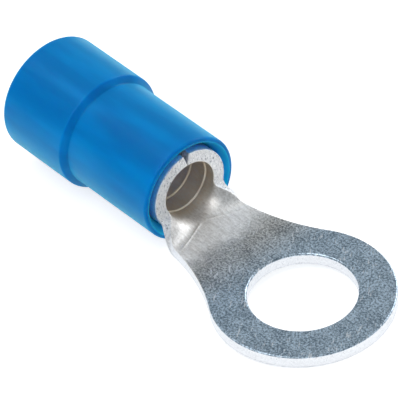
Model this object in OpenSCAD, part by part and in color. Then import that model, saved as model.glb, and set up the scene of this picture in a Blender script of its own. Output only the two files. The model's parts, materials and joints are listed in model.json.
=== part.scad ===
// Pre-insulated ring terminal: a stamped and rolled copper lug in a stepped insulating sleeve.
// Millimetres. The origin is the centre of the stud hole, on the underside of the tongue.
// The tongue lies flat on Z = 0 and the barrel runs back along -X.

/* [Ring tongue] */
// Outside diameter of the ring
ring_d = 17.8; // [16:0.1:22]
// Diameter of the stud hole
stud_hole_d = 10.5; // [5.3:0.1:12]
// Thickness of the copper sheet, in tongue and barrel alike
sheet_t = 1.3; // [0.8:0.1:1.6]
// Width of the neck between ring and barrel
neck_w = 8.7; // [7:0.1:9.6]
// Radius of the concave sides that lead from the ring into the neck
side_r = 21.8; // [16:0.2:32]
// Radius of the die roll along the punched top edge of the stud hole
hole_roll_r = 0.2; // [0.05:0.05:0.4]

/* [Rolled barrel] */
// Distance from the centre of the stud hole to the front end of the barrel
barrel_reach = 15.8; // [14:0.1:20]
// Bore of the barrel, which takes the stripped wire
wire_bore_d = 6; // [5:0.1:6.6]
// Length of the barrel
barrel_l = 10.3; // [8:0.1:14]
// Length over which the flat neck curls up into the barrel
curl_l = 3.45; // [2.4:0.05:5]
// Distance ahead of the barrel at which the tip of the neck's crease lies
crease_tip_l = 1.35; // [1:0.05:2]
// Radius of the inside corner between the neck's edge and the barrel's front end
corner_r = 0.6; // [0.3:0.05:0.9]

/* [Butt seam and grooves] */
// Opening of the V-shaped butt seam at the outside of the barrel
seam_open_w = 0.75; // [0.3:0.05:1.2]
// Gap left between the sheet's two edges at the bottom of the seam
seam_gap_w = 0.06; // [0.02:0.02:0.2]
// Number of grip grooves in the wire bore
groove_count = 4; // [0:1:4]
// Distance from the barrel's front end to the first groove
groove_first_l = 1.2; // [0.8:0.1:2]
// Spacing of the grooves
groove_pitch = 2.1; // [1.2:0.1:2.1]
// Width of a groove
groove_w = 0.32; // [0.1:0.02:0.6]
// Depth of a groove
groove_depth = 0.14; // [0.04:0.02:0.3]
// Chamfer at the barrel's rear end, which guides the wire's strands in
strand_chamfer = 0.35; // [0.1:0.05:0.6]

/* [Insulating sleeve] */
// Wall thickness of the sleeve
sleeve_wall = 1.2; // [1:0.05:1.6]
// Bore of the sleeve's rear section, which takes the wire's insulation
insulation_bore_d = 9.9; // [9.4:0.1:13]
// Overall length of the sleeve
sleeve_l = 20.9; // [17:0.1:30]
// Length of the slimmer front section, up to the outer edge of the shoulder
front_section_l = 12.1; // [10:0.1:14]
// Slope of the shoulder, measured along the sleeve
shoulder_l = 0.55; // [0.3:0.05:1.2]
// Distance from the barrel's front end back to the sleeve's front face
sleeve_setback = 0.1; // [0:0.05:0.5]
// Radial fit clearance between sleeve and barrel
fit_gap = 0.02; // [0.01:0.01:0.05]
// How far the flared front mouth stands off the barrel
mouth_flare_w = 0.7; // [0.3:0.05:0.75]
// Depth of the flared front mouth
mouth_flare_l = 1.5; // [0.5:0.1:3]
// Distance from the barrel's rear end to the inner cone
cone_gap_l = 0.3; // [0.1:0.1:1]
// Length of the inner cone that leads from the wide bore to the barrel
cone_l = 1.6; // [1:0.1:3]
// Size of the lead-in chamfer at the rear mouth
lead_in = 0.45; // [0.2:0.05:0.6]
// Radius of the rounded front edge
front_edge_r = 0.3; // [0.1:0.05:0.4]
// Radius of the rounded rear edge
rear_edge_r = 0.45; // [0.1:0.05:0.6]
// Radius that softens both corners of the shoulder
shoulder_r = 0.25; // [0.1:0.05:0.35]

/* [Hidden] */
$fn = 96;
// How far cutters reach past what they cut: solid ones, and the small ones that round a section's corners.
slack = 1;
overlap = 0.05;
curl_ease = 1.6;
crease_ease = 1.2;
corner_steps = 5;
curl_steps = 14;
half_strips = 14;
// How far the curled sheet's flat facets stay inside the barrel's round wall where they meet it.
facet_inset = 0.006;

ring_r = ring_d / 2;
neck_hw = neck_w / 2;
bore_r = wire_bore_d / 2;
barrel_r = bore_r + sheet_t;
mean_r = bore_r + sheet_t / 2;
axis_z = barrel_r;
front_x = -barrel_reach;
flat_x = front_x + curl_l;

// Centre of a concave side: its circle touches the ring and the edge of the neck.
side_y = neck_hw + side_r;
side_x = -sqrt(pow(ring_r + side_r, 2) - pow(side_y, 2));
touch_x = side_x * ring_r / (ring_r + side_r);
touch_y = side_y * ring_r / (ring_r + side_r);

sleeve_front_x = front_x - sleeve_setback;
fit_r = barrel_r + fit_gap;
front_r = fit_r + sleeve_wall;
wide_bore_r = insulation_bore_d / 2;
wide_r = wide_bore_r + sleeve_wall;
cone_from = barrel_l - sleeve_setback + cone_gap_l;
shoulder_from = front_section_l - shoulder_l;

// Half the width of the tongue at a place along X.
function side_hw(x) = x <= side_x ? neck_hw : side_y - sqrt(pow(side_r, 2) - pow(x - side_x, 2));

// Width that the rounded corner adds at distance d ahead of the barrel.
function corner_add(d) = d >= corner_r ? 0 : corner_r - sqrt(pow(corner_r, 2) - pow(corner_r - d, 2));

// Half the developed width of the sheet at distance d ahead of the barrel.
function blank_hw(d) = side_hw(front_x + d) + corner_add(d);

// Share of the barrel's full curl that is left at distance d: 1 at the barrel, 0 at the flat tongue.
function curl(d) = pow((1 + cos(180 * d / curl_l)) / 2, curl_ease);

// Half the width of the flat that the crease encloses at distance d.
function flat_hw(d) = d <= crease_tip_l
    ? 0
    : blank_hw(d) * pow((d - crease_tip_l) / (curl_l - crease_tip_l), crease_ease);

// Point of the curled sheet at distance d, at the share f (-1 to 1) of its width, on its upper or under face.
function sheet_point(d, f, face) =
    let (
        hw = blank_hw(d),
        flat = flat_hw(d),
        along = abs(f) * hw,
        bend = max(0, along - flat),
        bend_r = (hw - flat) * mean_r / (hw * max(curl(d), 1e-9)),
        o = face * (sheet_t / 2 - facet_inset * curl(d)),
        turn = bend > 0 && d < curl_l ? bend / bend_r * 180 / PI : 0,
        y = turn > 0 ? flat + bend_r * sin(turn) : along,
        z = turn > 0 ? bend_r * (1 - cos(turn)) : 0
    )
    [front_x + d, sign(f) * (y - o * sin(turn)), sheet_t / 2 + z + o * cos(turn)];

// Stations of the curl: close together round the corner, even after it.
function curl_stations() = concat(
    [for (i = [0 : corner_steps - 1]) corner_r * (1 - cos(90 * i / corner_steps))],
    [for (i = [0 : curl_steps]) curl_l - (curl_l - corner_r) * (1 - i / curl_steps)]
);

// The sheet between barrel and tongue, where a flat strip curls up into a tube.
module curled_neck() {
    stations = curl_stations();
    rows = len(stations);
    cols = 2 * half_strips + 1;
    side = rows * cols;
    shares = [for (j = [-half_strips : half_strips]) j / half_strips];
    under = [for (d = stations) for (f = shares) sheet_point(d, f, -1)];
    over = [for (d = stations) for (f = shares) sheet_point(d, f, 1)];
    skin = [
        for (i = [0 : rows - 2]) for (j = [0 : cols - 2])
            let (a = i * cols + j, b = a + 1, c = a + cols, e = c + 1)
            each [[a, e, b], [a, c, e], [side + a, side + b, side + e], [side + a, side + e, side + c]]
    ];
    edges = [
        for (i = [0 : rows - 2])
            let (a = i * cols, c = a + cols, b = a + cols - 1, e = c + cols - 1)
            each [[a, side + c, c], [a, side + a, side + c], [b, e, side + e], [b, side + e, side + b]]
    ];
    last = (rows - 1) * cols;
    ends = [
        for (j = [0 : cols - 2])
            each [
                [j, side + j + 1, side + j], [j, j + 1, side + j + 1],
                [last + j, side + last + j + 1, last + j + 1], [last + j, side + last + j, side + last + j + 1]
            ]
    ];
    polyhedron(points = concat(under, over), faces = concat(skin, edges, ends));
}

// Outline of the flat tongue: the ring and the waisted neck behind it.
module tongue_outline() {
    circle(r = ring_r);
    difference() {
        translate([flat_x, -touch_y]) square([touch_x - flat_x, 2 * touch_y]);
        for (s = [-1, 1]) translate([side_x, s * side_y]) circle(r = side_r, $fn = 4 * $fn);
    }
}

// Ring-shaped cutter that rounds the top edge of the stud hole.
module hole_roll() {
    rotate_extrude()
        difference() {
            translate([stud_hole_d / 2 - slack, sheet_t - hole_roll_r])
                square([slack + hole_roll_r, hole_roll_r + slack]);
            translate([stud_hole_d / 2 + hole_roll_r, sheet_t - hole_roll_r]) circle(r = hole_roll_r);
        }
}

module flat_tongue() {
    difference() {
        linear_extrude(sheet_t) tongue_outline();
        translate([0, 0, -slack]) cylinder(h = sheet_t + 2 * slack, d = stud_hole_d);
        hole_roll();
    }
}

// Places its children on the barrel's axis, with their +Z running back from the given X.
module on_axis(x) {
    translate([x, 0, axis_z]) rotate([0, -90, 0]) children();
}

// The rolled tube, with its butt seam on top and grip grooves inside.
module rolled_barrel() {
    difference() {
        on_axis(front_x) cylinder(h = barrel_l, r = barrel_r);
        on_axis(front_x + slack) cylinder(h = barrel_l + 2 * slack, r = bore_r);
        on_axis(front_x - barrel_l + strand_chamfer)
            cylinder(h = strand_chamfer, r1 = bore_r, r2 = bore_r + strand_chamfer);
        on_axis(front_x - barrel_l)
            cylinder(h = slack, r = bore_r + strand_chamfer);
        if (groove_count > 0)
            for (i = [0 : groove_count - 1]) on_axis(front_x - groove_first_l - i * groove_pitch) grip_groove();
        butt_seam();
    }
}

module grip_groove() {
    rotate_extrude()
        polygon([
            [bore_r - groove_depth, -groove_w],
            [bore_r + groove_depth, 0],
            [bore_r - groove_depth, groove_w]
        ]);
}

// Wedge between the sheet's two edges, narrow at the bore and wide at the outside.
module butt_seam() {
    slope = (seam_open_w - seam_gap_w) / 2 / sheet_t;
    on_axis(front_x + slack)
        linear_extrude(barrel_l + 2 * slack)
            polygon([
                [bore_r - slack / 2, -seam_gap_w / 2],
                [bore_r, -seam_gap_w / 2],
                [barrel_r + slack, -seam_open_w / 2 - slope * slack],
                [barrel_r + slack, seam_open_w / 2 + slope * slack],
                [bore_r, seam_gap_w / 2],
                [bore_r - slack / 2, seam_gap_w / 2]
            ]);
}

module terminal() {
    color("silver") {
        flat_tongue();
        curled_neck();
        rolled_barrel();
    }
}

// Cutter that rounds an outer corner at p, whose sides run along the unit vectors a and b, to the radius r.
module corner_cut(p, a, b, r) {
    half = acos(a * b) / 2;
    reach = r / tan(half);
    difference() {
        polygon([
            p - overlap * (a + b),
            p + reach * a - overlap * b,
            p + reach * a,
            p + reach * b,
            p + reach * b - overlap * a
        ]);
        translate(p + r / sin(half) * (a + b) / norm(a + b)) circle(r = r);
    }
}

// Half section of the sleeve: X is the radius and Y the distance back from its front face.
module sleeve_section() {
    slope = [wide_r - front_r, shoulder_l] / norm([wide_r - front_r, shoulder_l]);
    inner_reach = shoulder_r / tan(acos(-slope.y) / 2);
    difference() {
        polygon([
            [fit_r + mouth_flare_w, 0],
            [front_r, 0],
            [front_r, shoulder_from - inner_reach],
            [front_r, shoulder_from] + inner_reach * slope,
            [wide_r, front_section_l],
            [wide_r, sleeve_l],
            [wide_bore_r + lead_in, sleeve_l],
            [wide_bore_r, sleeve_l - lead_in],
            [wide_bore_r, cone_from + cone_l],
            [fit_r, cone_from],
            [fit_r, mouth_flare_l]
        ]);
        translate([front_r + shoulder_r, shoulder_from - inner_reach]) circle(r = shoulder_r);
        corner_cut([wide_r, front_section_l], -slope, [0, 1], shoulder_r);
        corner_cut([front_r, 0], [-1, 0], [0, 1], front_edge_r);
        corner_cut([wide_r, sleeve_l], [-1, 0], [0, -1], rear_edge_r);
    }
}

module insulating_sleeve() {
    color("royalblue") on_axis(sleeve_front_x) rotate_extrude() sleeve_section();
}

terminal();
insulating_sleeve();
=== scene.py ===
"""Looks of an insulated ring terminal: a tin-plated copper lug in a blue moulded sleeve.

The lug is drawn flat, as the blank that is punched from the sheet, and then bent: the tongue
stays flat, the neck curls up behind it and the barrel closes over its axis. Lengths are in
millimetres until a mesh is made; the frame and Blender are in metres.
"""

import json
import math

import bmesh
import bpy
import numpy as np
from mathutils import Matrix, Vector, noise
from mathutils.geometry import delaunay_2d_cdt


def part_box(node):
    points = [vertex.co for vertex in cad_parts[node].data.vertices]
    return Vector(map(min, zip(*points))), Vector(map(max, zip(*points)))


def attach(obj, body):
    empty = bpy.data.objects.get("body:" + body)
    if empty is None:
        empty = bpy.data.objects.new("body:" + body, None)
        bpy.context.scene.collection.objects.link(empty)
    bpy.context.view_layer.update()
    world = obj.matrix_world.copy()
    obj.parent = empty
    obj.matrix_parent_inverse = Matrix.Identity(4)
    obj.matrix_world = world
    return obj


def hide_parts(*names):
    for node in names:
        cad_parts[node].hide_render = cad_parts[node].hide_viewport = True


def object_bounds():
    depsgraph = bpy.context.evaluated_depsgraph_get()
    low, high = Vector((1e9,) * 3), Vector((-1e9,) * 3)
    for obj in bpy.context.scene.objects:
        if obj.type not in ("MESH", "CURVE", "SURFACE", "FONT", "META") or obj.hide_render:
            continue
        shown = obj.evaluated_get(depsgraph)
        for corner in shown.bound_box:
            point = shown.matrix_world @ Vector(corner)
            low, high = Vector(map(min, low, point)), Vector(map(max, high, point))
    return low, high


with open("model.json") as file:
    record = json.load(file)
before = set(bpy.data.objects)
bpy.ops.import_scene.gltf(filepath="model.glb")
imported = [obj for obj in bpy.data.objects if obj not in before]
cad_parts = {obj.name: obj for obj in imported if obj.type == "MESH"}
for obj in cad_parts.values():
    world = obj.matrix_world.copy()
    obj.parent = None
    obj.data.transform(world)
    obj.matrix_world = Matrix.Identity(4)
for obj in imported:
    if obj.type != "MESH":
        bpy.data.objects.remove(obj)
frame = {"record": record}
cad_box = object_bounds()

MM = 0.001

# Sizes that the frame gives.
mounts = {m["name"]: m for m in frame["record"]["mounts"]}
lug_low, lug_high = (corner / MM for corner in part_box("terminal"))
sleeve_low, sleeve_high = (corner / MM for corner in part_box("insulating_sleeve"))
ring_r = lug_high.x
hole_r = mounts["stud_hole"]["dims"]["r_mm"]
sheet_t = mounts["nut_seat"]["pos_m"][2] / MM
bore_r = mounts["wire_barrel"]["dims"]["r_mm"]
barrel_rear_x = lug_low.x
sleeve_front_x = sleeve_high.x
sleeve_rear_x = sleeve_low.x
wide_r = sleeve_high.y
wide_bore_r = mounts["insulation_entry"]["dims"]["r_mm"]

# Sizes of the lug that the frame doesn't give.
neck_w = 8.7
side_r = 21.8
barrel_reach = 15.8
curl_l = 3.45
crease_tip_l = 1.35
corner_r = 0.6
curl_ease = 1.6
crease_ease = 1.2
seam_open_w = 0.75
seam_gap_w = 0.06
groove_count = 4
groove_first_l = 1.2
groove_pitch = 2.1
groove_w = 0.32
groove_depth = 0.14
strand_chamfer = 0.35

# Edges of the sheet: the die rolls the upper edge of a cut, and leaves the lower one sharp.
hole_roll_r = 0.2
side_roll_r = 0.14
barrel_roll_r = 0.06
burr_r = 0.04
crease_ridge_h = 0.035
crease_ridge_hw = 0.1
chip_h = 0.02

# Sizes of the sleeve that the frame doesn't give.
front_section_l = 12.1
shoulder_l = 0.55
fit_gap = 0.02
mouth_flare_w = 0.7
mouth_flare_l = 1.5
cone_gap_l = 0.3
cone_l = 1.6
lead_in = 0.45
front_edge_r = 0.3
rear_edge_r = 0.45
shoulder_r = 0.25
mouth_edge_r = 0.1

# Unevenness of the moulded sleeve: its depth, and its waves a millimetre along and across.
wave_h = 0.012
wave_along = 0.12
wave_across = 1.6

# How finely the meshes are cut.
edge_step = 0.2
sheet_step = 0.24
crease_step = 0.04
corner_turn = 0.13
sleeve_step = 0.6
sleeve_turns = 288
arc_points = 7
support_l = 0.04
roll_steps = 5
wall_steps = 3
keep_off_l = 0.13
keep_off_crease = 0.1

# Where the plate's look changes along X: painted blue reflection to grey, matt to bent, and inside the
# barrel.
blue_to_x, grey_from_x = -4.0, -9.5
matt_to_x, bent_from_x = -8.7, -12.1
border_wander = 5.0
gloss_from_x = -12.5

# Finishes, as the dark and the light colour of each.
# The first pair's blue tint is a painted reflection of the surroundings; the speckle between its two
# colours is the plate's own.
tin_with_blue_reflection = (0.17, 0.23, 0.29, 1), (0.64, 0.77, 0.89, 1)
grey_tin = (0.23, 0.23, 0.225, 1), (0.75, 0.74, 0.72, 1)
bent_tin = (0.70, 0.68, 0.66, 1), (1.0, 0.99, 0.98, 1)
bore_tin = (0.98, 0.87, 0.73, 1), (1.0, 0.95, 0.86, 1)
pit_colour, nick_colour = (0.10, 0.13, 0.17, 1), (0.95, 0.97, 1.0, 1)
cut_metal = (0.76, 0.78, 0.82, 1), (0.90, 0.92, 0.95, 1)
torn_metal = (0.78, 0.79, 0.81, 1), (1.0, 1.0, 1.0, 1)
fleck_colour = (0.30, 0.32, 0.36, 1)
blue = (0.0, 0.16, 0.47, 1), (0.0, 0.22, 0.58, 1)
# Painted glow: a lighter blue for the thin lip of the sleeve's mouth, standing in for light through the
# wall.
painted_glow_blue = (0.02, 0.5, 0.95, 1)

# The floor passes under the two places where the part touches a table: the ring's tip and the
# lower edge of the sleeve's shoulder.
floor_side = 1.2
floor_glow = 0.75

# Camera: its direction as seen from the part, and how far off the middle of the box it aims.
camera_az, camera_el, camera_roll = math.radians(52.77), math.radians(41.33), math.radians(-5.61)
camera_fov = math.radians(5.59)
camera_distance = 389.9
aim_shift = Vector((-0.44, 0, -0.46))

barrel_r = bore_r + sheet_t
mean_r = bore_r + sheet_t / 2
axis_z = barrel_r
front_x = -barrel_reach
neck_hw = neck_w / 2
side_y = neck_hw + side_r
side_x = -math.sqrt((ring_r + side_r) ** 2 - side_y ** 2)
touch_turn = math.atan2(side_y, side_x)


def blank_hw(x):
    """Half the width of the blank ahead of the barrel."""
    x = np.asarray(x, float)
    side = side_y - np.sqrt(side_r ** 2 - np.maximum(x - side_x, 0) ** 2)
    corner = np.clip(corner_r - (x - front_x), 0, corner_r)
    return side + corner_r - np.sqrt(corner_r ** 2 - corner ** 2)


def crease_hw(x):
    """Half the width of the flat that the neck's crease encloses."""
    share = np.clip((x - front_x - crease_tip_l) / (curl_l - crease_tip_l), 0, 1)
    return blank_hw(x) * share ** crease_ease


def crease_slope(x):
    """How fast the crease runs outwards along X."""
    return (crease_hw(x + 0.01) - crease_hw(x - 0.01)) / 0.02


def crease_ridge(x, w):
    """Height of the fine ridge that the press leaves along the crease."""
    d = np.clip(x - front_x, 0, curl_l)
    at = front_x + d
    fade = np.clip((d - crease_tip_l - 0.1) / 0.4, 0, 1) * np.clip((curl_l - 0.1 - d) / 0.3, 0, 1)
    away = np.abs(np.abs(w) - crease_hw(at)) / np.hypot(1, crease_slope(at)) / crease_ridge_hw
    return crease_ridge_h * fade * np.clip(1 - away ** 2, 0, 1) ** 2


def groove_dip(x):
    """Depth of the grip grooves in the wire bore."""
    dip = np.zeros_like(x)
    for i in range(groove_count):
        away = np.abs(front_x - groove_first_l - i * groove_pitch - x)
        dip = np.maximum(dip, groove_depth * np.clip(1 - away / (groove_w / 2), 0, 1))
    return dip


def raised(x, w, o):
    """The height o with the relief of the upper face, which fades out through the sheet."""
    return o + (crease_ridge(x, w) - groove_dip(x)) * (o / sheet_t + 0.5)


def bend(x, w, o):
    """Place in space of the blank's points x, w, at the height o above the middle of the sheet."""
    x, w, o = (np.asarray(a, float) for a in (x, w, o))
    d = np.clip(x - front_x, 0, curl_l)
    half = blank_hw(front_x + d)
    flat = crease_hw(front_x + d)
    curl = ((1 + np.cos(np.pi * d / curl_l)) / 2) ** curl_ease
    bend_r = np.maximum(half - flat, 1e-9) * mean_r / (half * np.maximum(curl, 1e-9))
    turn = np.where(d < curl_l, np.maximum(0, np.abs(w) - flat) / bend_r, 0)
    across = np.where(turn > 0, flat + bend_r * np.sin(turn), np.abs(w))
    lift = np.where(turn > 0, bend_r * (1 - np.cos(turn)), 0)
    y = np.sign(w) * (across - o * np.sin(turn))
    return np.stack([x, y, sheet_t / 2 + lift + o * np.cos(turn)], axis=-1)


def even(a, b, count):
    """Even values from a up to b, without b."""
    return np.linspace(a, b, count, endpoint=False)


def span(a, b, step):
    """Even values from a up to b, without b, about a step apart."""
    return even(a, b, max(2, round(abs(b - a) / step)))


def seam_w(radius):
    """Half the width of the blank along the butt seam, where the barrel has this radius."""
    share = (radius - bore_r) / sheet_t
    gap = (seam_gap_w + (seam_open_w - seam_gap_w) * share) / 2
    return mean_r * (math.pi - math.asin(gap / radius))


def half_outline(radius):
    """The blank's outline from the ring's tip to the middle of its rear edge, as x, w and roll radii."""
    end_w = seam_w(radius)
    turns = span(0, touch_turn, edge_step / ring_r)
    corner_x = front_x + corner_r
    along = span(ring_r * math.cos(touch_turn), corner_x, edge_step)
    corner = front_x + corner_r * (1 - np.sin(span(0, math.pi / 2, corner_turn)))
    corner_hw = float(blank_hw(front_x))
    front_w = even(corner_hw, end_w, round((math.pi * mean_r - corner_hw) / edge_step))
    seam = span(front_x, barrel_rear_x, edge_step)
    rear_w = even(end_w, 0, round(math.pi * mean_r / edge_step))
    return [
        (ring_r * np.cos(turns), ring_r * np.sin(turns), side_roll_r, burr_r),
        (along, blank_hw(along), side_roll_r, burr_r),
        (corner, blank_hw(corner), barrel_roll_r, barrel_roll_r),
        (np.full_like(front_w, front_x), front_w, barrel_roll_r, barrel_roll_r),
        (seam, np.full_like(seam, end_w), barrel_roll_r, barrel_roll_r),
        (np.full_like(rear_w, barrel_rear_x), rear_w, strand_chamfer, barrel_roll_r),
    ]


def closed_outline(radius):
    """The whole outline, counter-clockwise, one row of x, w, upper roll and lower roll a point."""
    rows = []
    for x, w, upper, lower in half_outline(radius):
        rows += [(a, b, upper, lower) for a, b in zip(x, w)]
    mirrored = [(x, -w, upper, lower) for x, w, upper, lower in reversed(rows[1:])]
    middle = [(barrel_rear_x, 0.0, strand_chamfer, barrel_roll_r)]
    return np.array(rows + middle + mirrored)


def hole_outline():
    """The stud hole, clockwise, in the same form."""
    turns = -span(0, 2 * math.pi, edge_step / hole_r)
    rolls = np.tile([hole_roll_r, burr_r], (len(turns), 1))
    return np.column_stack([hole_r * np.cos(turns), hole_r * np.sin(turns), rolls])


def outward(points):
    """Mitred normals that point out of the sheet, along a closed run of points."""
    ahead = np.roll(points, -1, axis=0) - points
    ahead /= np.linalg.norm(ahead, axis=1)[:, None]
    normal = np.column_stack([ahead[:, 1], -ahead[:, 0]])
    both = normal + np.roll(normal, 1, axis=0)
    return both / np.maximum((both * normal).sum(axis=1), 0.5)[:, None]


def smooth_along(values, rounds=3):
    """Evens out a value along a closed run of points."""
    for _ in range(rounds):
        values = (np.roll(values, 1) + 2 * values + np.roll(values, -1)) / 4
    return values


def edge_profile(upper, lower):
    """Levels of a cut edge, from the upper face down, each as the height and inset of every point."""
    levels = []
    for k in range(roll_steps + 1):
        turn = math.pi / 2 * k / roll_steps
        levels.append((sheet_t / 2 - upper * (1 - math.cos(turn)), upper * (1 - math.sin(turn))))
    top, bottom = sheet_t / 2 - upper, lower - sheet_t / 2
    for k in range(1, wall_steps):
        levels.append((top + (bottom - top) * k / wall_steps, np.zeros_like(upper)))
    for k in range(roll_steps + 1):
        turn = math.pi / 2 * k / roll_steps
        levels.append((lower * (1 - math.sin(turn)) - sheet_t / 2, lower * (1 - math.cos(turn))))
    return levels


def inside(points, outline):
    """Which points lie inside a closed outline."""
    result = np.zeros(len(points), bool)
    for a, b in zip(outline, np.roll(outline, -1, axis=0)):
        crosses = (a[1] > points[:, 1]) != (b[1] > points[:, 1])
        if crosses.any():
            at = a[0] + (points[:, 1] - a[1]) * (b[0] - a[0]) / (b[1] - a[1] + 1e-12)
            result ^= crosses & (points[:, 0] < at)
    return result


def nearest(points, others):
    """Distance from each point to the nearest of the others."""
    parts = np.array_split(points, max(1, len(points) // 500))
    return np.concatenate([
        np.sqrt(((part[:, None] - others[None]) ** 2).sum(axis=2).min(axis=1)) for part in parts
    ])


def crease_lines():
    """Rows of points along both creases: the ridge's top, its slopes and its feet."""
    x = span(front_x + crease_tip_l + 0.1, front_x + curl_l - 0.1, crease_step)
    slope = crease_slope(x)
    step = crease_ridge_hw / np.hypot(1, slope)
    rows = [
        np.column_stack([x - share * slope * step, side * (crease_hw(x) + share * step)])
        for side in (-1, 1) for share in (-1, -0.5, 0, 0.5, 1)
    ]
    return np.concatenate(rows)


def sheet_points(end_w):
    """Points inside the blank: even ones, with rows of their own along grooves and creases."""
    rows = [span(barrel_rear_x, ring_r, sheet_step)]
    for i in range(groove_count):
        middle = front_x - groove_first_l - i * groove_pitch
        rows[0] = rows[0][np.abs(rows[0] - middle) > groove_w]
        rows.append(middle + groove_w / 2 * np.array([-1.2, -1, -0.5, 0, 0.5, 1, 1.2]))
    across = span(-end_w, end_w, sheet_step)
    grid = np.array([(x, w) for x in np.concatenate(rows) for w in across])
    creases = crease_lines()
    grid = grid[nearest(grid, creases) > keep_off_crease]
    return np.concatenate([grid, creases])


def fill_face(outline, hole, upper_face):
    """Triangles of one face of the blank. Both runs come first in its points, each with one inside it."""
    runs = []
    for run in (outline, hole):
        runs += [run, run - support_l * outward(run)]
    fixed = np.concatenate(runs)
    points = sheet_points(np.abs(outline[:, 1]).max())
    points = points[inside(points, runs[1]) & ~inside(points, runs[3])]
    points = points[nearest(points, fixed) > keep_off_l]
    edges, first = [], 0
    for run in runs:
        edges += [(first + i, first + (i + 1) % len(run)) for i in range(len(run))]
        first += len(run)
    everything = [Vector(p) for p in np.concatenate([fixed, points])]
    made = delaunay_2d_cdt(everything, edges, [], 0, 1e-6)
    points, triangles = np.array([tuple(p) for p in made[0]]), np.array(made[2])
    middles = points[triangles].mean(axis=1)
    triangles = triangles[inside(middles, outline) & ~inside(middles, hole)]
    if not upper_face:
        triangles = triangles[:, ::-1]
    return points, triangles


def chips(x, w):
    """Unevenness of a cut edge, from 0 to 1: slow waves with finer chips on them."""
    place = Vector((x, w, 0))
    return 0.5 + 0.25 * noise.noise(place * 3) + 0.25 * noise.noise(place * 9)


def edge_rings(upper_run, lower_run):
    """Runs of points down a cut edge, from the upper face to the lower one, each with its heights."""
    upper = smooth_along(upper_run[:, 2])
    lower = smooth_along(lower_run[:, 3])
    rough = chip_h * np.array([chips(x, w) for x, w in upper_run[:, :2]])
    rings = []
    for level, (height, inset) in enumerate(edge_profile(upper, lower)):
        share = ((sheet_t / 2 - height) / sheet_t)[:, None]
        flat = upper_run[:, :2] * (1 - share) + lower_run[:, :2] * share
        on_wall = roll_steps <= level <= roll_steps + wall_steps
        inset = inset + (rough if on_wall else 0)
        rings.append((flat - outward(flat) * inset[:, None], height))
    return rings


def ring_faces(rings, first):
    """Quads between the runs of a cut edge, whose points start at this count, with their finishes."""
    size = len(rings[0][0])
    faces, finishes = [], []
    for level in range(len(rings) - 1):
        for i in range(size):
            a, b = first + level * size + i, first + level * size + (i + 1) % size
            faces.append((b, a, a + size, b + size))
            finishes.append(0 if level < roll_steps else 1)
    return faces, finishes


def lug_mesh():
    """The lug as one closed mesh: two faces of the blank, bent, and the cut edges between them."""
    walls = [
        edge_rings(closed_outline(bore_r), closed_outline(barrel_r)),
        edge_rings(hole_outline(), hole_outline()),
    ]
    vertices, faces, finishes = [], [], []
    for which, height in ((0, sheet_t / 2), (-1, -sheet_t / 2)):
        outline, hole = (rings[which][0] for rings in walls)
        points, triangles = fill_face(outline, hole, upper_face=height > 0)
        first = sum(map(len, vertices))
        x, w = points.T
        vertices.append(bend(x, w, raised(x, w, height)))
        faces += [tuple(triangle + first) for triangle in triangles]
        finishes += [0] * len(triangles)
    for rings in walls:
        wall_faces, wall_finishes = ring_faces(rings, sum(map(len, vertices)))
        faces += wall_faces
        finishes += wall_finishes
        for flat, height in rings:
            x, w = flat.T
            vertices.append(bend(x, w, raised(x, w, height)))
    return np.concatenate(vertices), faces, finishes


def make_object(name, vertices, faces, materials, finishes=None):
    """A smooth mesh object from millimetres, with coinciding points joined."""
    mesh = bpy.data.meshes.new(name)
    mesh.from_pydata([tuple(v) for v in np.asarray(vertices) * MM], [], faces)
    for material in materials:
        mesh.materials.append(material)
    if finishes:
        mesh.polygons.foreach_set("material_index", finishes)
    mesh.polygons.foreach_set("use_smooth", [True] * len(mesh.polygons))
    made = bpy.data.objects.new(name, mesh)
    bpy.context.scene.collection.objects.link(made)
    join_points(mesh)
    return made


def join_points(mesh):
    """Joins points that lie in the same place and turns all faces outwards."""
    work = bmesh.new()
    work.from_mesh(mesh)
    bmesh.ops.remove_doubles(work, verts=work.verts, dist=1e-4 * MM)
    bmesh.ops.recalc_face_normals(work, faces=work.faces)
    work.to_mesh(mesh)
    work.free()


def rounded(points):
    """A closed run of points from corners (radius, back, rounding), with each rounding as an arc."""
    run = []
    for i, (r, x, rounding) in enumerate(points):
        here = Vector((r, x))
        if rounding <= 0:
            run.append(here)
            continue
        before = (Vector(points[i - 1][:2]) - here).normalized()
        after = (Vector(points[(i + 1) % len(points)][:2]) - here).normalized()
        half = before.angle(after) / 2
        reach = rounding / math.tan(half)
        centre = here + (before + after).normalized() * rounding / math.sin(half)
        start, end = here + before * reach - centre, here + after * reach - centre
        for k in range(arc_points):
            mix = start.lerp(end, k / (arc_points - 1))
            run.append(centre + mix.normalized() * rounding)
    return run


def supported(run):
    """Adds points next to each bend of a run, so that smooth shading stays at the bend."""
    full = []
    for i, here in enumerate(run):
        after = run[(i + 1) % len(run)]
        length = (after - here).length
        full.append(here)
        if length > 4 * support_l:
            steps = max(1, round(length / sleeve_step))
            near = support_l / length
            shares = [near] + [k / steps for k in range(1, steps)] + [1 - near]
            full += [here.lerp(after, share) for share in shares]
    return full


def sleeve_profile():
    """Half section of the sleeve, as radius and distance back from its front face."""
    length = sleeve_front_x - sleeve_rear_x
    fit_r = barrel_r + fit_gap
    front_r = fit_r + wide_r - wide_bore_r
    cone_from = sleeve_front_x - barrel_rear_x + cone_gap_l
    corners = [
        (fit_r + mouth_flare_w, 0, mouth_edge_r),
        (front_r, 0, front_edge_r),
        (front_r, front_section_l - shoulder_l, shoulder_r),
        (wide_r, front_section_l, shoulder_r),
        (wide_r, length, rear_edge_r),
        (wide_bore_r + lead_in, length, mouth_edge_r),
        (wide_bore_r, length - lead_in, mouth_edge_r),
        (wide_bore_r, cone_from + cone_l, mouth_edge_r),
        (fit_r, cone_from, mouth_edge_r),
        (fit_r, mouth_flare_l, mouth_edge_r),
    ]
    return supported(rounded(corners))


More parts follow.
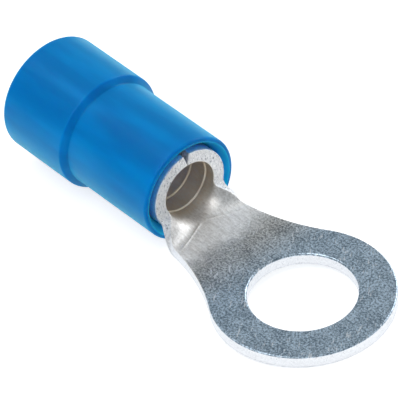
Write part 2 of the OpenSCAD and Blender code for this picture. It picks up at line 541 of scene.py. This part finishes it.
def sleeve_mesh():
    """The sleeve's section turned about the barrel's axis, with the slight unevenness of a moulding."""
    profile = sleeve_profile()
    vertices, faces = [], []
    for i in range(sleeve_turns):
        turn = 2 * math.pi * i / sleeve_turns
        for r, back in profile:
            around = Vector((0, math.cos(turn), math.sin(turn))) * wave_across
            place = around + Vector((back * wave_along, 0, 0))
            r -= wave_h * (1 + noise.noise(place)) if r > fit_outside_r() else 0
            vertices.append((sleeve_front_x - back, r * math.sin(turn), axis_z + r * math.cos(turn)))
    rows = len(profile)
    for i in range(sleeve_turns):
        for k in range(rows):
            a, b = i * rows + k, i * rows + (k + 1) % rows
            c, d = (a + rows) % len(vertices), (b + rows) % len(vertices)
            faces.append((a, b, d, c))
    return vertices, faces


def fit_outside_r():
    """Radius above which the sleeve's surface is its outside."""
    return barrel_r + fit_gap + (wide_r - wide_bore_r) - 0.05


def feed(tree, sockets, values):
    """Sets each socket to its value, or links it where the value is another node's output."""
    for socket, value in zip(sockets, values):
        if isinstance(value, bpy.types.NodeSocket):
            tree.links.new(value, socket)
        else:
            socket.default_value = value


def add_node(tree, kind, **values):
    """A node, with its sockets and settings set by name."""
    made = tree.nodes.new(kind)
    for name, value in values.items():
        socket = made.inputs.get(name.replace("_", " "))
        if socket is None:
            setattr(made, name, value)
        else:
            feed(tree, [socket], [value])
    return made


def new_material(name):
    """A material with an empty tree, its shader and a position in millimetres."""
    made = bpy.data.materials.new(name)
    made.use_nodes = True
    tree = made.node_tree
    tree.nodes.clear()
    output = tree.nodes.new("ShaderNodeOutputMaterial")
    shader = tree.nodes.new("ShaderNodeBsdfPrincipled")
    tree.links.new(shader.outputs["BSDF"], output.inputs["Surface"])
    place = tree.nodes.new("ShaderNodeTexCoord").outputs["Object"]
    scaled = add_node(tree, "ShaderNodeVectorMath", operation="SCALE", Scale=1 / MM)
    tree.links.new(place, scaled.inputs[0])
    return made, tree, shader, scaled.outputs[0]


def stretched(tree, place, x, y, z):
    """The position with its axes scaled one by one."""
    return add_node(tree, "ShaderNodeMapping", Vector=place, Scale=(x, y, z)).outputs[0]


def turned(tree, place, degrees):
    """The position turned about Z."""
    angles = (0, 0, math.radians(degrees))
    return add_node(tree, "ShaderNodeMapping", Vector=place, Rotation=angles).outputs[0]


def noise_of(tree, place, scale, detail=4, roughness=0.6):
    """Noise from 0 to 1 at a scale in cycles a millimetre."""
    made = add_node(
        tree, "ShaderNodeTexNoise", Vector=place, Scale=scale, Detail=detail, Roughness=roughness
    )
    return made.outputs["Factor" if "Factor" in made.outputs else "Fac"]


def ranged(tree, value, low, high, to_low=0.0, to_high=1.0):
    """Maps a value from one range to another, with soft ends."""
    made = add_node(tree, "ShaderNodeMapRange", Value=value, From_Min=low, From_Max=high)
    made.interpolation_type = "SMOOTHSTEP"
    made.inputs["To Min"].default_value = to_low
    made.inputs["To Max"].default_value = to_high
    return made.outputs["Result"]


def mixed(tree, share, low, high):
    """A colour between two colours."""
    made = add_node(tree, "ShaderNodeMix", data_type="RGBA")
    feed(tree, (made.inputs[0], made.inputs[6], made.inputs[7]), (share, low, high))
    return made.outputs[2]


def combined(tree, operation, a, b):
    """Two values added, multiplied or compared."""
    made = add_node(tree, "ShaderNodeMath", operation=operation)
    feed(tree, made.inputs, (a, b))
    return made.outputs[0]


def weighed(tree, *parts):
    """The sum of some values, each times its own weight."""
    total = None
    for value, weight in parts:
        share = combined(tree, "MULTIPLY", value, weight)
        total = share if total is None else combined(tree, "ADD", total, share)
    return total


def blended(tree, share, low, high):
    """A value between two values."""
    made = add_node(tree, "ShaderNodeMix", data_type="FLOAT")
    feed(tree, (made.inputs[0], made.inputs[2], made.inputs[3]), (share, low, high))
    return made.outputs[0]


def x_of(tree, place):
    """The position's X."""
    return add_node(tree, "ShaderNodeSeparateXYZ", Vector=place).outputs["X"]


def distance_from_axis(tree, place):
    """Distance of the position from the barrel's axis."""
    offset = add_node(tree, "ShaderNodeVectorMath", operation="SUBTRACT")
    feed(tree, offset.inputs, (place, (0, 0, axis_z)))
    radial = add_node(tree, "ShaderNodeVectorMath", operation="MULTIPLY")
    feed(tree, radial.inputs, (offset.outputs[0], (0, 1, 1)))
    length = add_node(tree, "ShaderNodeVectorMath", operation="LENGTH")
    feed(tree, length.inputs, [radial.outputs[0]])
    return length.outputs["Value"]


def bumped(tree, height, depth_mm, strength=1.0):
    """A normal from a height, whose full range is this deep."""
    made = add_node(tree, "ShaderNodeBump", Height=height, Distance=depth_mm * MM, Strength=strength)
    return made.outputs["Normal"]


def matt_tin(tree, place, spread):
    """Colour of the tongue: speckled, with a painted blue reflection tint that turns grey on the neck, with
    pits and light nicks.
    """
    streaks = stretched(tree, turned(tree, place, 50), 0.9, 5, 1)
    nicks = ranged(tree, noise_of(tree, streaks, 1.1, 2, 0.5), 0.63, 0.71, 0, 0.7)
    pits = ranged(tree, noise_of(tree, place, 1.5, 5, 0.8), 0.60, 0.68, 0, 0.6)
    speckle = ranged(tree, spread, 0.41, 0.59)
    # Painted reflection: the blue tint fades to grey along X, from the ring to the neck.
    blue_reflection_fade = ranged(tree, x_of(tree, place), blue_to_x, grey_from_x)
    colour = mixed(tree, blue_reflection_fade, mixed(tree, speckle, *tin_with_blue_reflection), mixed(tree, speckle, *grey_tin))
    colour = mixed(tree, pits, colour, pit_colour)
    return mixed(tree, nicks, colour, nick_colour)


def tin_plate():
    """Matt tin plate, bright where the sheet was bent and warm inside the barrel."""
    made, tree, shader, place = new_material("tinned_copper")
    along = x_of(tree, place)
    grain = noise_of(tree, place, 4.6, 4, 0.75)
    cloud = noise_of(tree, place, 0.6, 4, 0.65)
    brushed = noise_of(tree, stretched(tree, place, 1.2, 5, 5), 1.0, 3, 0.6)
    spread = weighed(tree, (grain, 0.8), (cloud, 0.2))
    worn = weighed(tree, (brushed, 0.5), (grain, 0.5))
    border = weighed(tree, (along, 1.0), (cloud, border_wander))
    middle = border_wander / 2
    bent = ranged(tree, border, matt_to_x + middle, bent_from_x + middle)
    bore = ranged(tree, along, front_x + 0.5, front_x - 0.8)
    bright = mixed(tree, ranged(tree, worn, 0.34, 0.66), *bent_tin)
    dull = mixed(tree, ranged(tree, worn, 0.35, 0.65), *bore_tin)
    plated = mixed(tree, bent, matt_tin(tree, place, spread), bright)
    smooth = ranged(tree, spread, 0.3, 0.7, 0.28, 0.42)
    rubbed = ranged(tree, along, gloss_from_x, front_x + 0.5, 0.56, 0.50)
    finish = shader.inputs
    finish["Metallic"].default_value = 1.0
    feed(
        tree,
        (finish["Base Color"], finish["Roughness"], finish["Normal"]),
        (mixed(tree, bore, plated, dull), blended(tree, bent, smooth, rubbed), bumped(tree, spread, 0.02)),
    )
    return made


def cut_edge():
    """The cut edges of the sheet: bright, with grey flecks, and rugged round the barrel's front end."""
    made, tree, shader, place = new_material("sheared_edge")
    rugged = ranged(tree, x_of(tree, place), front_x + 2.4, front_x + 0.6)
    marks = noise_of(tree, stretched(tree, place, 2, 2, 1.2), 2.6, 4, 0.65)
    marks = ranged(tree, marks, 0.3, 0.7)
    flecks = noise_of(tree, stretched(tree, place, 2, 2, 1), 2.6, 4, 0.75)
    flecks = ranged(tree, flecks, 0.54, 0.65)
    flecks = combined(tree, "MULTIPLY", flecks, ranged(tree, rugged, 0, 1, 0.35, 0.9))
    bright = mixed(tree, rugged, mixed(tree, marks, *cut_metal), mixed(tree, marks, *torn_metal))
    height = combined(tree, "MULTIPLY", marks, ranged(tree, rugged, 0, 1, 0.3, 1.0))
    finish = shader.inputs
    finish["Metallic"].default_value = 1.0
    feed(
        tree,
        (finish["Base Color"], finish["Roughness"], finish["Normal"]),
        (
            mixed(tree, flecks, bright, fleck_colour),
            ranged(tree, marks, 0, 1, 0.34, 0.52),
            bumped(tree, height, 0.06),
        ),
    )
    return made


def blue_plastic():
    """Semi-gloss moulded plastic, streaked along the axis, with a painted glow on the mouth's thin lip for
    light through the wall.
    """
    made, tree, shader, place = new_material("blue_insulation")
    # Lighter and darker streaks of blue along the axis.
    axial_streaks = noise_of(tree, stretched(tree, place, 0.1, 0.5, 0.5), 1.0, 3, 0.5)
    skin = noise_of(tree, place, 1.6, 3, 0.6)
    mouth_r = barrel_r + fit_gap + mouth_flare_w
    # Painted glow: the thin lip at the front of the mouth is painted lighter, for light through the wall.
    thin = ranged(tree, distance_from_axis(tree, place), mouth_r + 0.2, mouth_r)
    front = ranged(tree, x_of(tree, place), sleeve_front_x - mouth_flare_l, sleeve_front_x - 0.5)
    mouth_glow = combined(tree, "MULTIPLY", thin, front)
    drawn = mixed(tree, ranged(tree, axial_streaks, 0.3, 0.7), *blue)
    finish = shader.inputs
    feed(
        tree,
        (finish["Base Color"], finish["Roughness"], finish["Normal"]),
        (
            mixed(tree, mouth_glow, drawn, painted_glow_blue),
            ranged(tree, skin, 0.3, 0.7, 0.28, 0.36),
            bumped(tree, skin, 0.004),
        ),
    )
    finish["IOR"].default_value = 1.45
    finish["Specular IOR Level"].default_value = 0.1
    finish["Subsurface Weight"].default_value = 1.0
    finish["Subsurface Radius"].default_value = (0.0002, 0.0012, 0.0018)
    finish["Subsurface Scale"].default_value = 1.0
    finish["Sheen Weight"].default_value = 1.0
    finish["Sheen Roughness"].default_value = 0.45
    finish["Sheen Tint"].default_value = (0.05, 0.7, 1.0, 1)
    return made


def floor_material():
    """A white floor, in reflections too, that keeps the shadow and is clear from below."""
    made = bpy.data.materials.new("pale_floor")
    made.use_nodes = True
    tree = made.node_tree
    tree.nodes.clear()
    rays = tree.nodes.new("ShaderNodeLightPath").outputs
    seen = combined(tree, "MAXIMUM", rays["Is Camera Ray"], rays["Is Glossy Ray"])
    seen = combined(tree, "MAXIMUM", seen, rays["Is Transmission Ray"])
    glow = add_node(tree, "ShaderNodeEmission", Color=(1, 1, 1, 1))
    tree.links.new(combined(tree, "MULTIPLY", seen, floor_glow), glow.inputs["Strength"])
    matt = add_node(tree, "ShaderNodeBsdfDiffuse", Color=(0.55, 0.55, 0.55, 1))
    both = tree.nodes.new("ShaderNodeAddShader")
    tree.links.new(matt.outputs[0], both.inputs[0])
    tree.links.new(glow.outputs[0], both.inputs[1])
    sided = tree.nodes.new("ShaderNodeMixShader")
    tree.links.new(tree.nodes.new("ShaderNodeNewGeometry").outputs["Backfacing"], sided.inputs[0])
    tree.links.new(both.outputs[0], sided.inputs[1])
    tree.links.new(tree.nodes.new("ShaderNodeBsdfTransparent").outputs[0], sided.inputs[2])
    output = tree.nodes.new("ShaderNodeOutputMaterial")
    tree.links.new(sided.outputs[0], output.inputs["Surface"])
    return made


def add_floor():
    """The floor, laid under the part as it rests on a table."""
    ring_tip = Vector((ring_r, 0, 0))
    shoulder = Vector((sleeve_front_x - front_section_l, 0, sleeve_low.z))
    slope = (ring_tip - shoulder).normalized()
    up = slope.cross(Vector((0, 1, 0)))
    up = up if up.z > 0 else -up
    centre = (ring_tip + shoulder) / 2 - up * 0.01
    half = floor_side / 2 / MM
    corners = [centre + slope * a * half + Vector((0, 1, 0)) * b * half
               for a, b in ((-1, -1), (1, -1), (1, 1), (-1, 1))]
    floor = make_object("floor", [tuple(c) for c in corners], [(0, 1, 2, 3)], [floor_material()])
    return floor


def camera_axes():
    """Right, up and back of the camera."""
    back = Vector((
        math.sin(camera_az) * math.cos(camera_el),
        -math.cos(camera_az) * math.cos(camera_el),
        math.sin(camera_el),
    ))
    right = Vector((math.cos(camera_az), math.sin(camera_az), 0))
    up = back.cross(right)
    turn = Matrix.Rotation(camera_roll, 3, back)
    return turn @ right, turn @ up, back


def add_camera():
    """The camera, a long lens from the photograph's side."""
    low, high = cad_box
    aim = (Vector(low) + Vector(high)) / 2 + aim_shift * MM
    right, up, back = camera_axes()
    data = bpy.data.cameras.new("camera")
    data.lens_unit = "FOV"
    data.angle = camera_fov
    data.clip_start = 0.01
    camera = bpy.data.objects.new("camera", data)
    turned = Matrix((right, up, back)).transposed().to_4x4()
    camera.matrix_world = Matrix.Translation(aim + back * camera_distance * MM) @ turned
    bpy.context.scene.collection.objects.link(camera)
    bpy.context.scene.camera = camera


def add_softbox(
    name, towards, distance, width, height, radiance, colour=(1, 1, 1), glossy=True
):
    """A rectangular lamp in a direction from the middle of the part, and whether reflections show it."""
    low, high = cad_box
    middle = (Vector(low) + Vector(high)) / 2
    direction = Vector(towards).normalized()
    data = bpy.data.lights.new(name, "AREA")
    data.shape = "RECTANGLE"
    data.size, data.size_y = width * MM, height * MM
    data.energy = radiance * math.pi * data.size * data.size_y
    data.color = colour
    lamp = bpy.data.objects.new(name, data)
    lamp.visible_glossy = glossy
    lamp.matrix_world = (
        Matrix.Translation(middle + direction * distance * MM)
        @ direction.to_track_quat("Z", "Y").to_matrix().to_4x4()
    )
    bpy.context.scene.collection.objects.link(lamp)


def add_world():
    """A plain studio room, brighter overhead than along its walls."""
    world = bpy.data.worlds.new("studio")
    bpy.context.scene.world = world
    world.use_nodes = True
    tree = world.node_tree
    background = tree.nodes["Background"]
    background.inputs["Color"].default_value = (0.88, 0.95, 1.0, 1)
    direction = tree.nodes.new("ShaderNodeTexCoord").outputs["Generated"]
    towards = add_node(tree, "ShaderNodeSeparateXYZ", Vector=direction).outputs
    height = weighed(tree, (towards["Z"], 1.0), (towards["Y"], 0.4))
    tree.links.new(ranged(tree, height, 0.0, 0.6, 0.12, 0.47), background.inputs["Strength"])


def add_lights():
    """Soft studio light: a large box overhead, a dim one at the back and low fills at both sides."""
    add_world()
    add_softbox("key_box", (-0.05, -0.45, 0.89), 260, 150, 150, 3.6, (1.0, 0.99, 0.97))
    add_softbox("back_box", (-0.60, -0.15, 0.78), 300, 50, 160, 1.6)
    add_softbox("left_fill", (0.1, -1.0, 0.05), 300, 240, 80, 8.0, glossy=False)
    add_softbox("right_fill", (-0.05, 0.85, 0.47), 300, 180, 110, 5.5)


def build_part():
    """The two pieces, each in place of its CAD node."""
    vertices, faces, finishes = lug_mesh()
    lug = make_object("lug_sheet", vertices, faces, [tin_plate(), cut_edge()], finishes)
    vertices, faces = sleeve_mesh()
    sleeve = make_object("sleeve_moulding", vertices, faces, [blue_plastic()])
    for piece, node, slot in (
        (lug, "terminal", "tinned_copper"),
        (sleeve, "insulating_sleeve", "blue_insulation"),
    ):
        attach(piece, "root")
        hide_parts(node)


build_part()
add_floor()
add_camera()
add_lights()
bpy.context.scene.view_settings.view_transform = "Standard"
